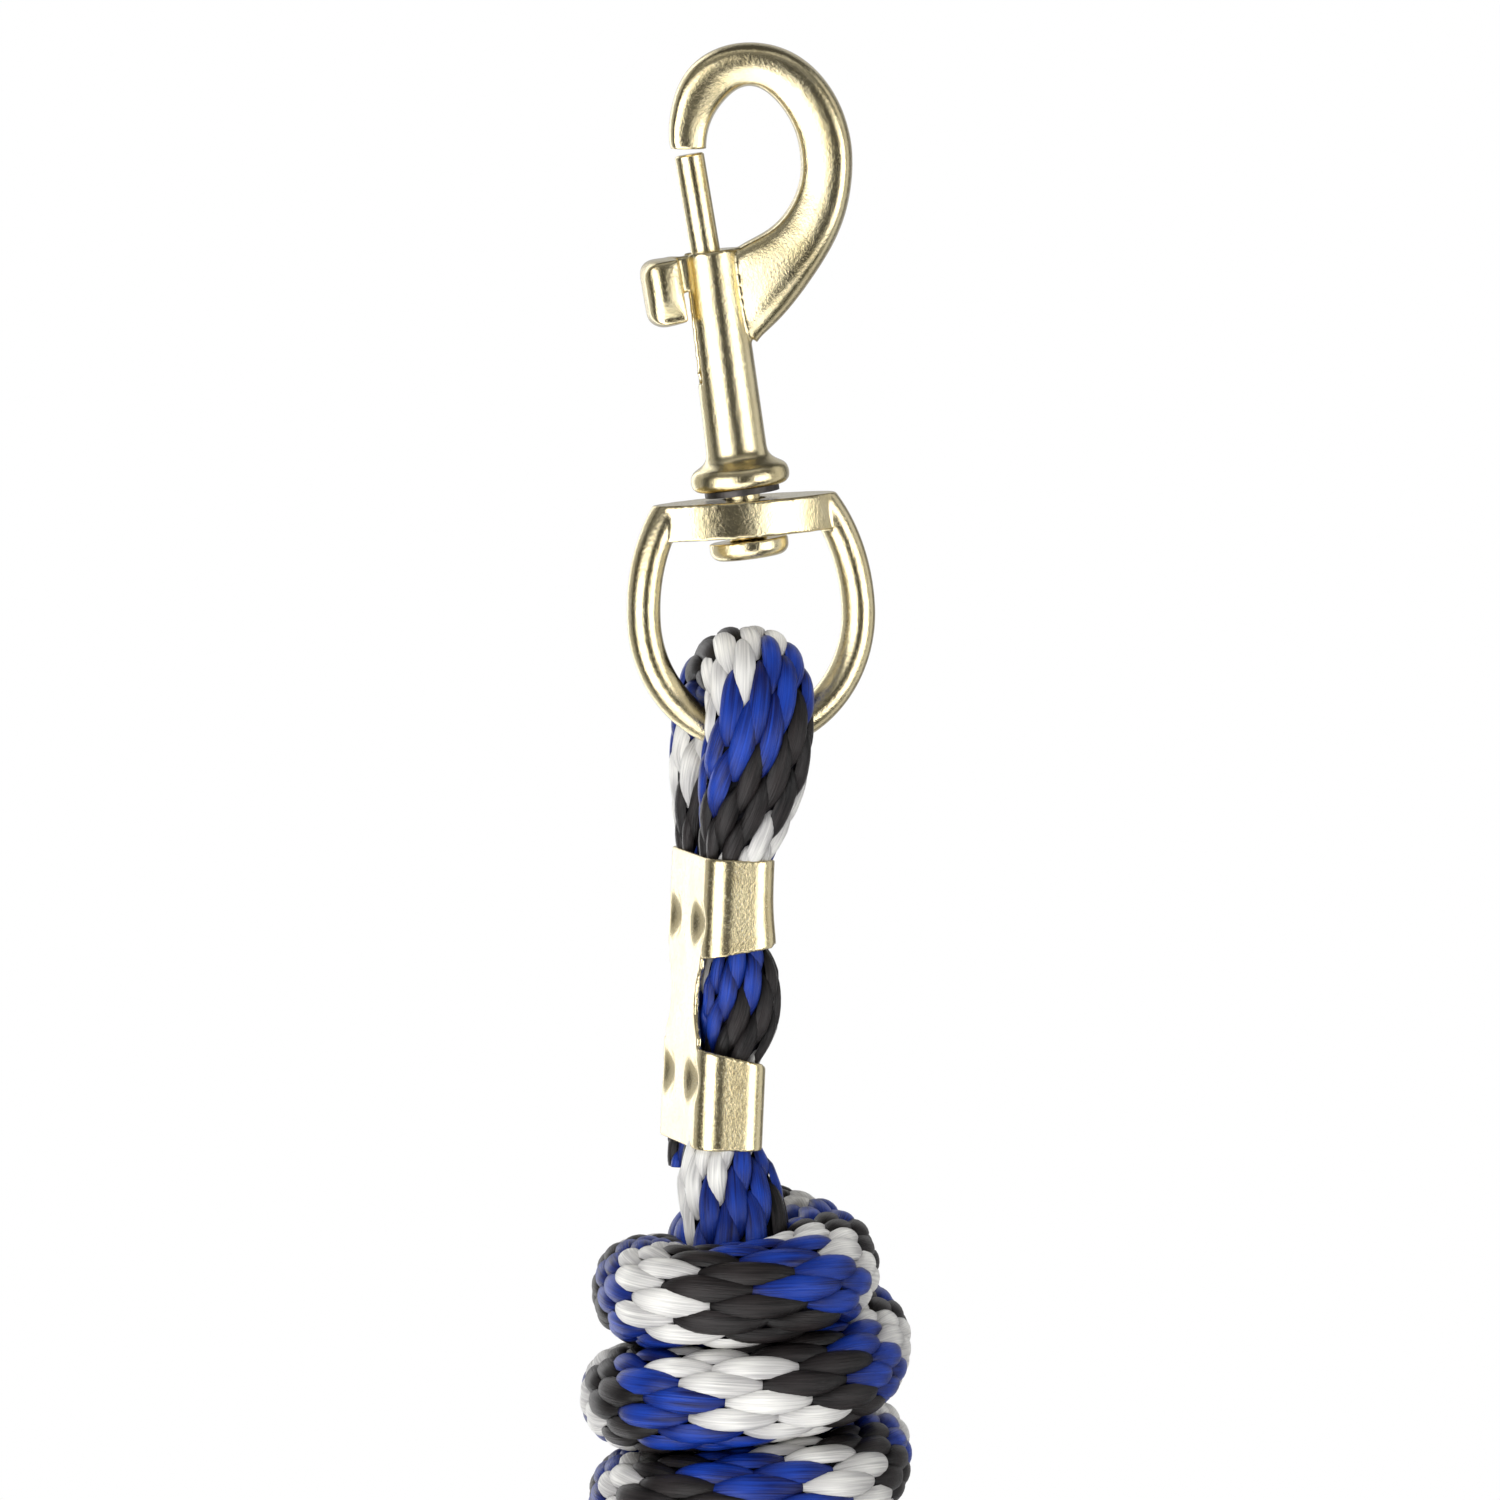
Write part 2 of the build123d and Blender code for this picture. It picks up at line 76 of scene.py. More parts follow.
# Frames of the rope's eye and of the clamp: origin, x axis and z axis
EYE = (
    (-1.1918, -0.1412, -92.7419),
    (0.95996861, 0.25722281, -0.11089048),
    (0.10711198, 0.02870057, 0.99383263),
)
CLAMP = (
    (-3.7807, -0.8349, -109.5483),
    (0.96493147, 0.25855261, -0.04536299),
    (0.04381728, 0.01174081, 0.99897057),
)
CLAMP_FOOT = (-5.6080, -1.3245, -151.2054)
HANK = (-0.4080, -1.3245, -159.5054)

# Through the clamp, up the back leg (x, y, z in the clamp's frame)
CLAMP_BACK = [(0, 5.7, -45.7), (0, 5.7, -38), (0, 5.7, -24), (0, 5.8, -10)]
# Half of the eye, from the clamp to the crown (x, y, z in the eye's frame)
EYE_LEG = [(-0.8, 6.5, -17.0), (-0.3, 7.4, -10.54), (0, 9.2, -3.4), (0, 9.5, 3.935), (0, 3.935, 9.5)]
# Down the front leg through the clamp, with a bulge in its window, and out at its foot
CLAMP_FRONT = [(0, -5.8, -9), (1.9, -5.9, -19), (1.9, -5.9, -23), (0, -5.7, -33)]
NECK_ROUTE = [(1.5, -5.9, 3.0), (1.7, -6.1, -1.5), (2.5, -6.7, -6.0), (3.9, -7.4, -11.0)]
# Down through the hank, round the bight and up again (x, y, z from the middle of the hank's top)
CORE_ROUTE = [
    (0, -8, -20), (0, -8, -60), (0, -8, -110), (0, -8, -148), (0, -9, -166), (0, -14.5, -180),
    (0, -16, -191), (0, -16, -197.6), (0, -6.6, -207), (0, 6.6, -207), (0, 16, -197.6), (0, 16, -191),
    (0, 14.5, -180), (0, 9, -166), (0, 8, -148), (0, 8, -110), (0, 8, -60), (0, 8, -36),
    (-1.5, 9, -22), (-4.5, 13.5, -12), (-3.5, 20.5, -8.3), (3, 22, -8),
]
# From the last wrap through the bight to the free end (from the middle of the wraps' foot)
END_ROUTE = [
    (-14, 7, 9), (-16, 5, -5), (-10.5, 2, -18.5), (3, 0, -25.5), (15.5, -1, -33), (21, -2, -47),
]
WRAPS_FOOT = -163.0
# Each half turn of the wraps starts at a side: how far out, right and left in turn, and how low
SIDES = [
    (10.9, -8.7), (14.0, -12.7), (15.3, -21.0), (15.7, -28.1), (15.4, -37.0), (14.6, -43.0),
]
SIDE_REACH, REACH_SPREAD = 15.3, 0.5
TURN_DROP, DROP_SPREAD = (6.9, 8.7), 0.35
TURNS = 9.5
WRAP_DEPTH = 23.0                        # half the wraps' depth, front to back
WRAP_ROUND = 15.3                        # of which the round part takes this much
WRAP_SQUARENESS = 1.7                    # how soon the flat sides reach their full depth
TURN_POINTS = 16
POLYGON_EXCESS = 1.02                    # the spline runs inside its control points
CURVE_DIVISIONS = 16
LINE_STEP = 0.5
TOUCHING = 1e-4                          # line points nearer than this are one point


def axes_of(place):
    """Origin and the three axes of a frame that is given as origin, x axis and z axis."""
    origin, x_axis, z_axis = (np.array(v, float) for v in place)
    return origin, np.stack([x_axis, np.cross(z_axis, x_axis), z_axis])


def in_frame(place, points):
    """Points that are given in a named frame, in the part's frame."""
    origin, (x_axis, y_axis, z_axis) = axes_of(place)
    return [origin + p[0] * x_axis + p[1] * y_axis + p[2] * z_axis for p in points]


def offset(origin, points):
    """Points that are given from an origin, in the part's frame."""
    return [np.array(origin, float) + np.array(p, float) for p in points]


def wrap_sides():
    """Reach and height of every side that the wraps pass, from the first one on the right."""
    sides = list(SIDES)
    while len(sides) < 2 * TURNS + 1:
        drop = TURN_DROP[(len(sides) + 1) % 2]
        reach = SIDE_REACH + rng.uniform(-REACH_SPREAD, REACH_SPREAD)
        sides.append((reach, sides[-1][1] - drop + rng.uniform(-DROP_SPREAD, DROP_SPREAD)))
    return sides


def wrap_points():
    """The wraps' control points: a flattened ring that is wound clockwise from above, downwards."""
    sides = wrap_sides()
    points = []
    for i in range(int(TURNS * TURN_POINTS) + 1):
        turn = i / TURN_POINTS
        angle = -2 * math.pi * turn
        half = min(int(2 * turn), len(sides) - 2)
        share = 2 * turn - half
        height = sides[half][1] * (1 - share) + sides[half + 1][1] * share
        here = int(round(2 * turn))
        reach = sides[min(here, len(sides) - 1)][0]
        x = POLYGON_EXCESS * reach * math.cos(angle)
        flat = (WRAP_DEPTH - WRAP_ROUND) * max(-1, min(1, WRAP_SQUARENESS * math.sin(angle)))
        y = POLYGON_EXCESS * (WRAP_ROUND * math.sin(angle) + flat)
        points.append((x, y, height))
    return points


def rope_route():
    """Control points of the whole rope, from its crimped end to its free end."""
    other_leg = [(x, -y, z) for x, y, z in reversed(EYE_LEG)]
    return [
        *in_frame(CLAMP, CLAMP_BACK),
        *in_frame(EYE, EYE_LEG + other_leg),
        *in_frame(CLAMP, CLAMP_FRONT),
        *offset(CLAMP_FOOT, NECK_ROUTE),
        *offset(HANK, CORE_ROUTE),
        *offset(HANK, wrap_points()),
        *offset((HANK[0], HANK[1], HANK[2] + WRAPS_FOOT), END_ROUTE),
    ]


def nurbs_line(points):
    """The smooth line of one NURBS spline with these control points, in metres."""
    curve = bpy.data.curves.new("rope_line", "CURVE")
    curve.dimensions = "3D"
    curve.resolution_u = CURVE_DIVISIONS
    spline = curve.splines.new("NURBS")
    spline.points.add(len(points) - 1)
    for point, place in zip(spline.points, points):
        point.co = (*(float(v) * MM for v in place), 1.0)
    spline.order_u = 3
    spline.use_endpoint_u = True
    holder = bpy.data.objects.new("rope_line", curve)
    mesh = bpy.data.meshes.new_from_object(holder)
    line = np.array([v.co for v in mesh.vertices])
    bpy.data.objects.remove(holder)
    return line


def carried_frames(line):
    """Tangents, and two sideways directions carried along the line without twist."""
    tangents = np.gradient(line, axis=0)
    tangents /= np.linalg.norm(tangents, axis=1)[:, None]
    first = np.array(EYE[1])
    side = np.zeros_like(line)
    for i, tangent in enumerate(tangents):
        first = first - tangent * (first @ tangent)
        first = first / np.linalg.norm(first)
        side[i] = first
    return tangents, side, np.cross(tangents, side)


def read_line(points):
    """The rope's centre line read in equal steps, and the length up to each step."""
    line = nurbs_line(points) / MM
    apart = np.linalg.norm(np.diff(line, axis=0), axis=1) > TOUCHING
    line = line[np.concatenate([[True], apart])]
    along = np.concatenate([[0], np.cumsum(np.linalg.norm(np.diff(line, axis=0), axis=1))])
    even = np.arange(0, along[-1], LINE_STEP)
    return np.stack([np.interp(even, along, line[:, k]) for k in range(3)], 1), even


LINE, ALONG = read_line(rope_route())
TANGENT, SIDE, ACROSS = carried_frames(LINE)


def nearest(place, after=0.0):
    """How far along the rope the line comes closest to a place, beyond a given length."""
    distance = np.linalg.norm(LINE - np.array(place), axis=1)
    distance[ALONG < after] = np.inf
    return ALONG[int(distance.argmin())]


# Lengths along the rope at which one stretch ends and the next begins
CROWN = nearest(in_frame(EYE, [(0, 0, 9.5)])[0])
CLAMP_IN = nearest(in_frame(CLAMP, [(0, 6.2, 0)])[0])
CLAMP_OUT = nearest(in_frame(CLAMP, [(0, -6.2, 0)])[0], CROWN)
CLAMP_END = nearest(CLAMP_FOOT, CLAMP_OUT + 20)
CORE_START = nearest(offset(HANK, [(0, -8, -12)])[0], CLAMP_END)
BIGHT = nearest(offset(HANK, [(0, 0, -207)])[0], CORE_START)
CORE_HIGH = nearest(offset(HANK, [(0, 8, -40)])[0], BIGHT)
WRAP_START = nearest(offset(HANK, [(SIDES[0][0], 0, SIDES[0][1])])[0], CORE_HIGH)
WRAP_END = nearest(offset(HANK, [(-SIDE_REACH, 0, WRAPS_FOOT + 9)])[0], WRAP_START + 1000)
ROPE_END = ALONG[-1]

# Size of the section along the carried side direction and across it, at lengths along the rope
SECTIONS = [
    (0, 9.6, 8.8), (3.5, 9.8, 9.2), (7, 7.4, 11.2),
    (CLAMP_IN - 27, 7.4, 11.2), (CLAMP_IN - 21, 9.6, 12.2), (CLAMP_IN - 15, 7.4, 11.2),
    (CLAMP_IN - 3, 8.4, 11.2), (CLAMP_IN + 5, 13.2, 11.8), (CLAMP_IN + 13, 15.7, 12.5),
    (CROWN, 15.5, 12.5),
    (CLAMP_OUT - 13, 15.9, 12.7), (CLAMP_OUT - 5, 13.4, 11.9), (CLAMP_OUT + 3, 8.4, 11.2),
    (CLAMP_OUT + 13, 8.2, 11.2), (CLAMP_OUT + 15, 10.2, 12.0), (CLAMP_OUT + 17.5, 11.6, 12.4),
    (CLAMP_OUT + 24, 11.6, 12.4), (CLAMP_OUT + 26.5, 10.2, 12.0), (CLAMP_OUT + 29, 8.2, 11.2),
    (CLAMP_END - 3, 8.4, 11.2), (CLAMP_END + 4, 13.8, 12.4), (CLAMP_END + 9, 15.0, 13.6),
    (CORE_START + 8, 16, 16),
    (ROPE_END - 6, 16, 16), (ROPE_END - 1.2, 14.6, 14.6), (ROPE_END, 11.5, 11.5),
]
WRAP_RADIAL, WRAP_AXIAL = 16.6, 15.2     # the wraps' section, outwards and along the hank
WRAP_BLEND = 20.0                        # length over which the section changes at their ends
SECTION_POWER = 2.25                     # 2 would be an ellipse


def section_radius(along, angle):
    """Distance from the centre line to the rope's outer surface."""
    table = np.array(SECTIONS)
    wide = np.interp(along, table[:, 0], table[:, 1]) / 2
    thin = np.interp(along, table[:, 0], table[:, 2]) / 2
    begun = np.clip((along - WRAP_START + WRAP_BLEND) / WRAP_BLEND, 0, 1)
    wrapped = begun * np.clip((WRAP_END - along) / WRAP_BLEND, 0, 1)
    outward = [np.interp(along, ALONG, OUTWARD[:, k]) for k in (0, 1)]
    turned = angle - wrapped * np.arctan2(outward[1], outward[0])
    wide = wide * (1 - wrapped) + wrapped * WRAP_RADIAL / 2
    thin = thin * (1 - wrapped) + wrapped * WRAP_AXIAL / 2
    p = SECTION_POWER
    return ((np.abs(np.cos(turned)) / wide) ** p + (np.abs(np.sin(turned)) / thin) ** p) ** (-1 / p)


def outward_directions():
    """The hank's outward direction seen in the carried frame, at every step of the line."""
    away = LINE - np.array(HANK)
    flat = WRAP_DEPTH - WRAP_ROUND
    away[:, 1] -= np.clip(away[:, 1], -flat, flat)
    away[:, 2] = 0
    return np.stack([(away * SIDE).sum(1), (away * ACROSS).sum(1)], 1)


OUTWARD = outward_directions()


def surface_point(along, angle, height):
    """Points on the rope, at a length, an angle round it and a height over its surface."""
    radius = section_radius(along, angle) + height
    centre, side, across = (
        np.stack([np.interp(along, ALONG, table[:, k]) for k in range(3)], -1)
        for table in (LINE, SIDE, ACROSS)
    )
    outward = np.cos(angle)[..., None] * side + np.sin(angle)[..., None] * across
    return centre + radius[..., None] * outward


# ---------------------------------------------------------------- the braid
COLUMNS = 18
STITCH_TILT = math.radians(11)
TILT_SPREAD = math.radians(2.5)
STITCH_MID, STITCH_TIP = 1.52, 0.66      # widths, as shares of the columns' spacing
WIDTH_SPREAD = 0.06
LEAF_POWER = 2.2                         # how late the leaf narrows towards its tips
STITCH_LENGTH, LENGTH_SPREAD = 1.12, 0.03    # shares of the pitch
STITCH_SINK, SINK_POWER = 1.5, 3         # how far the tips dive, and how late
STITCH_CROWN, CROWN_ROUNDNESS = 1.05, 0.96   # how far the long edges fall, how round the back is
PLACE_SPREAD = (0.25, 0.12, 0.14)        # along, round and out of the rope
# how far each stitch's painted highlight and painted tip shade shift along it
PAINTED_LIGHT_SHIFT = 0.12
PATTERN_RANGE = 400.0                    # each stitch takes its own place in the yarn's noise
SHORTEST_STITCH = 5.0
GRID_ALONG, GRID_ACROSS = 14, 8
COLOURS = ("white", "blue", "black")
STRANDS_A_PITCH = 5
CYCLE = COLUMNS / STRANDS_A_PITCH        # stitches of a column in one round of the colours
LEG_TWIST, WRAP_TWIST = 0.008, 0.020     # radians a millimetre, towards tangent x outward
LEG_START, WRAP_PHASE = 0.2565, 0.815    # place in the round of colours, at the ends and wraps
# A bend opens the stitches on its outside: straight pitch, and the share of the opening that shows
LEG_PITCH, CORE_PITCH, WRAP_PITCH = (11.1, 0.5), (10.5, 0.3), (8.86, 0.95)
BEND_STEPS = 17                          # the bend is averaged over this many steps of the line
HIDDEN_PITCH = 1.22                      # the stitches are longer in the clamp's lower fold
# Stitches closer than this to another run's centre are inside it
BURIED_REACH, OTHER_RUN = 6.6, 30.0
HOLLOW = ((12, 19), (-146, -22))         # the hank's inside: half width and depth, and heights
CORE_SINK, CORE_STEP, CORE_SIDES = 1.25, 2.0, 24


def roll_table():
    """How far the braid's first column is turned from the carried frame, along the rope."""
    leg = LEG_TWIST * (ALONG - CROWN)
    outward = np.unwrap(np.arctan2(OUTWARD[:, 1], OUTWARD[:, 0]))
    wraps = outward + WRAP_TWIST * (ALONG - WRAP_START)
    at_start = np.interp(WRAP_START, ALONG, wraps)
    at_core = np.interp(CORE_START, ALONG, leg)
    wraps -= 2 * math.pi * round((at_start - at_core) / (2 * math.pi))
    at_start = np.interp(WRAP_START, ALONG, wraps)
    core = np.interp(ALONG, [CORE_START, WRAP_START], [at_core, at_start])
    roll = np.where(ALONG < CORE_START, leg, np.where(ALONG < WRAP_START, core, wraps))
    tail = ALONG > WRAP_END
    roll[tail] = np.interp(WRAP_END, ALONG, roll) + LEG_TWIST * (ALONG[tail] - WRAP_END)
    return roll


def pitch_table():
    """Length of a stitch at every step of the line."""
    bend = np.linalg.norm(np.gradient(TANGENT, ALONG, axis=0), axis=1)
    bend = np.convolve(bend, np.ones(BEND_STEPS) / BEND_STEPS, "same") * ROPE_DIAMETER / 2
    hidden = (ALONG > CLAMP_OUT + 28) & (ALONG < CLAMP_END - 3)
    leg, core, wraps = (
        pitch * (1 + opening * bend) / (1 + bend)
        for pitch, opening in (LEG_PITCH, CORE_PITCH, WRAP_PITCH)
    )
    leg[hidden] *= HIDDEN_PITCH
    return np.where(ALONG < CORE_START, leg, np.where(ALONG < WRAP_START, core, wraps))


def braid_count(pitch, phase_at_wraps):
    """Stitches of one column before each step; the core's pitch is trimmed to give a phase."""
    steps = np.diff(ALONG) / pitch[1:]
    count = LEG_START * CYCLE + np.concatenate([[0], np.cumsum(steps)])
    inside = (ALONG[1:] > CORE_START) & (ALONG[1:] < WRAP_START)
    missing = (phase_at_wraps * CYCLE - np.interp(WRAP_START, ALONG, count)) % CYCLE
    steps[inside] *= 1 + missing / steps[inside].sum()
    return count[0] + np.concatenate([[0], np.cumsum(steps)])


ROLL = roll_table()
DRIFT = np.where(ALONG < CORE_START, LEG_TWIST, WRAP_TWIST)
COUNT = braid_count(pitch_table(), WRAP_PHASE)


def stitch_list():
    """Length, angle, local pitch and colour of each stitch of the helical lattice."""
    stitches = []
    for column in range(COLUMNS):
        lag = 0.5 * (column % 2) + column / COLUMNS
        for j in range(math.floor(COUNT[0]) - 2, math.ceil(COUNT[-1]) + 1):
            count = j + lag
            if not COUNT[0] - 0.3 < count < COUNT[-1] + 0.3:
                continue
            along = float(np.interp(count, COUNT, ALONG))
            nearby = np.interp([count - 0.5, count + 0.5], COUNT, ALONG)
            phase = ((STRANDS_A_PITCH * count - column) / COLUMNS) % 1.0
            angle = 2 * math.pi * column / COLUMNS
            colour = int(phase * len(COLOURS) + 1e-6) % len(COLOURS)
            stitches.append((along, angle, max(nearby[1] - nearby[0], SHORTEST_STITCH), colour))
    return np.array(stitches)


def buried(stitches):
    """Stitches that lie inside another stretch of the rope."""
    tree = KDTree(len(LINE))
    for i, place in enumerate(LINE):
        tree.insert(place, i)
    tree.balance()
    angles = stitches[:, 1] + np.interp(stitches[:, 0], ALONG, ROLL)
    places = surface_point(stitches[:, 0], angles, np.zeros(len(stitches)))
    hidden = np.zeros(len(stitches), bool)
    for i, place in enumerate(places):
        for _, index, _ in tree.find_range(place, BURIED_REACH):
            if abs(ALONG[index] - stitches[i, 0]) > OTHER_RUN:
                hidden[i] = True
                break
    away = places - np.array(HANK)
    reach, (foot, top) = HOLLOW
    inside = (np.abs(away[:, :2]) < reach).all(1) & (away[:, 2] > foot) & (away[:, 2] < top)
    return hidden | inside


def stitch_grid(stitches):
    """Vertices and surface coordinates of every stitch: a long leaf with a rounded back."""
    u = np.linspace(-1, 1, GRID_ALONG)[None, :, None]
    v = np.linspace(-1, 1, GRID_ACROSS)[None, None, :]
    n = len(stitches)
    along0, angle0, pitch = (stitches[:, k][:, None, None] for k in range(3))

    def spread(amount):
        return rng.uniform(-amount, amount, (n, 1, 1))

    start = stitches[:, 1] + np.interp(stitches[:, 0], ALONG, ROLL)
    girth = section_radius(stitches[:, 0], start)[:, None, None]
    spacing = 2 * math.pi * girth / COLUMNS
    length = pitch * (STITCH_LENGTH + spread(LENGTH_SPREAD))
    leaf = 1 - np.abs(u) ** LEAF_POWER
    width = spacing * (STITCH_TIP + (STITCH_MID - STITCH_TIP) * leaf) * (1 + spread(WIDTH_SPREAD))
    tilt = STITCH_TILT + spread(TILT_SPREAD)
    a = u * length / 2 + spread(PLACE_SPREAD[0])
    b = v * width / 2
    along = along0 + a * np.cos(tilt) - b * np.sin(tilt)
    drift = np.interp(along0, ALONG, DRIFT) * girth
    round_ = a * (np.sin(tilt) - drift) + b * np.cos(tilt) + spread(PLACE_SPREAD[1])
    along = np.clip(along, 0, ROPE_END)
    carried = np.interp(along, ALONG, ROLL)
    angle = angle0 + carried + round_ / girth
    ridge = -STITCH_SINK * np.abs(u) ** SINK_POWER
    back = -STITCH_CROWN * (1 - np.sqrt(1 - CROWN_ROUNDNESS * v**2))
    height = ridge + back + spread(PLACE_SPREAD[2]) + 0 * along
    points = surface_point(along, angle, height)
    flat = 0 * (a + b)
    shift = [rng.uniform(0, PATTERN_RANGE, (n, 1, 1)) for _ in range(2)]
    uv = np.stack([a + flat + shift[0], b + flat + shift[1]], -1)
    # u and v place the painted highlight and the painted shade at the stitch's edges and tips; the
    # third value is the stitch's own random tone
    tone = np.stack([u + flat + spread(PAINTED_LIGHT_SHIFT), v + flat, flat + rng.uniform(0, 1, (n, 1, 1))], -1)
    return points, uv, tone


def grid_mesh(name, points, uv, tone):
    """One mesh of many equal grids of vertices, with surface coordinates in millimetres."""
    n, rows, columns, _ = points.shape
    index = np.arange(n * rows * columns).reshape(n, rows, columns)
    corners = index[:, :-1, :-1], index[:, 1:, :-1], index[:, 1:, 1:], index[:, :-1, 1:]
    quads = np.stack(corners, -1).reshape(-1, 4)
    mesh = bpy.data.meshes.new(name)
    mesh.vertices.add(n * rows * columns)
    mesh.vertices.foreach_set("co", (points.reshape(-1, 3) * MM).ravel())
    mesh.loops.add(quads.size)
    mesh.loops.foreach_set("vertex_index", quads.ravel())
    mesh.polygons.add(len(quads))
    mesh.polygons.foreach_set("loop_start", np.arange(len(quads)) * 4)
    mesh.polygons.foreach_set("use_smooth", np.ones(len(quads), bool))
    layer = mesh.uv_layers.new(name="stitch")
    layer.data.foreach_set("uv", uv.reshape(-1, 2)[quads.ravel()].astype(np.float32).ravel())
    shade = mesh.attributes.new("tone", "FLOAT_COLOR", "POINT")
    full = np.ones((n * rows * columns, 4), np.float32)
    full[:, :3] = tone.reshape(-1, 3)
    shade.data.foreach_set("color", full.ravel())
    mesh.update()
    mesh.validate()
    return mesh


def add_piece(name, mesh, body):
    """A new object of this name that rides on a body."""
    piece = bpy.data.objects.new(name, mesh)
    bpy.context.scene.collection.objects.link(piece)
    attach(piece, body)
    return piece


def make_braid():
    """One piece for the stitches of each colour."""
    stitches = stitch_list()
    stitches = stitches[~buried(stitches)]
    pieces = []
    for k, colour in enumerate(COLOURS):
        mesh = grid_mesh("rope_" + colour, *stitch_grid(stitches[stitches[:, 3] == k]))
        pieces.append(add_piece("rope_" + colour, mesh, "rope"))
    return pieces


def make_core():
    """The inside of the braid, seen between the stitches, closed at both ends; its near-black colour is
    painted shade for the gaps between the stitches.
    """
    along = np.concatenate([np.arange(0, ROPE_END, CORE_STEP), [ROPE_END]])
    angle = np.linspace(0, 2 * math.pi, CORE_SIDES + 1)
    grid_along = np.repeat(along[:, None], len(angle), 1)
    grid_angle = np.repeat(angle[None, :], len(along), 0)
    points = surface_point(grid_along, grid_angle, np.full(grid_along.shape, -CORE_SINK))
    first = np.repeat(LINE[:1], len(angle), 0)[None]
    last = np.repeat(LINE[-1:], len(angle), 0)[None]
    points = np.concatenate([first, points, last])
    lengths = np.concatenate([[0], along, [ROPE_END]])
    girth = angle[None] * ROPE_DIAMETER / 2
    uv = np.stack([np.repeat(lengths[:, None], len(angle), 1), np.repeat(girth, len(lengths), 0)], -1)
    tone = np.zeros((*points.shape[:2], 3))
    mesh = grid_mesh("rope_core", points[None], uv[None], tone[None])
    return add_piece("rope_core", mesh, "rope")


# ---------------------------------------------------------------- materials
def new_material(name):
    """A material, its node tree and its shader."""
    material = bpy.data.materials.new(name)
    material.use_nodes = True
    tree = material.node_tree
    shader = tree.nodes["Principled BSDF"]
    return material, tree, shader


def node(tree, kind, **values):
    """A new node; each value goes to the property or the input of that name."""
    made = tree.nodes.new(kind)
    for key, value in values.items():
        if hasattr(made, key) and key not in made.inputs:
            setattr(made, key, value)
        else:
            made.inputs[key].default_value = value
    return made


def link(tree, source, target):
    """Joins an output to an input."""
    tree.links.new(source, target)


def math_node(tree, operation, first, second=None, third=None):
    """The output of a math node whose inputs are numbers or other nodes' outputs."""
    made = tree.nodes.new("ShaderNodeMath")
    made.operation = operation
    for socket, value in zip(made.inputs, (first, second, third)):
        if value is None:
            continue
        if isinstance(value, (int, float)):
            socket.default_value = value
        else:
            link(tree, value, socket)
    return made.outputs[0]


def ramp(tree, source, stops):
    """The colour at a value, between stops of (place, colour)."""
    made = tree.nodes.new("ShaderNodeValToRGB")
    elements = made.color_ramp.elements
    while len(elements) < len(stops):
        elements.new(0.5)
    for element, (position, colour) in zip(elements, stops):
        element.position = position
        element.color = (*colour, 1.0)
    link(tree, source, made.inputs["Fac"])
    return made.outputs["Color"]


def grey(value):
    """A colour of equal parts."""
    return (value, value, value)


def mixed(first, second):
    """The colour half way between two."""
    return tuple((a + b) / 2 for a, b in zip(first, second))


def map_range(tree, source, source_range, target_range, interpolation="LINEAR"):
    """A value carried from one range to another, and kept inside it."""
    made = tree.nodes.new("ShaderNodeMapRange")
    made.interpolation_type = interpolation
    link(tree, source, made.inputs["Value"])
    for side, values in (("From", source_range), ("To", target_range)):
        for end, value in zip(("Min", "Max"), values):
            made.inputs[f"{side} {end}"].default_value = value
    return made.outputs["Result"]


# Noise along and across the yarn, per millimetre
FIBRE_SCALE, BUNDLE_SCALE = (0.10, 4.5), (0.08, 1.3)
FIBRE_SHARE = 0.6
# The painted highlight's place on the stitch, how far the bundles shift it, how narrow it is, how
# strong
HIGHLIGHT_PLACE, HIGHLIGHT_WAVER, HIGHLIGHT_FALL, PAINTED_HIGHLIGHT = 0.62, 0.9, 7.0, 0.42
# How sharply the painted shade gathers at the stitch's long edges and at its tips, and how dark it gets
EDGE_POWER, END_POWER, CLEFT_SHADE = 3.0, 6.0, 0.3
LINE_CONTRAST, LINE_MIDDLE = 2.3, 0.86
STITCH_LUCK = 0.2                        # from the darkest stitch to the lightest
FIBRE_HEIGHT = 0.22
SHEEN_DIRECTION = 0.7


def stretched_noise(tree, scales, detail):
    """Noise drawn out along the yarn."""
    place = node(tree, "ShaderNodeUVMap", uv_map="stitch")
    mapping = node(tree, "ShaderNodeMapping")
    mapping.inputs["Scale"].default_value = (*scales, 1.0)
    link(tree, place.outputs["UV"], mapping.inputs["Vector"])
    noise = node(tree, "ShaderNodeTexNoise", Scale=1.0, Detail=detail, Roughness=0.6)
    link(tree, mapping.outputs["Vector"], noise.inputs["Vector"])
    return noise.outputs["Fac"]


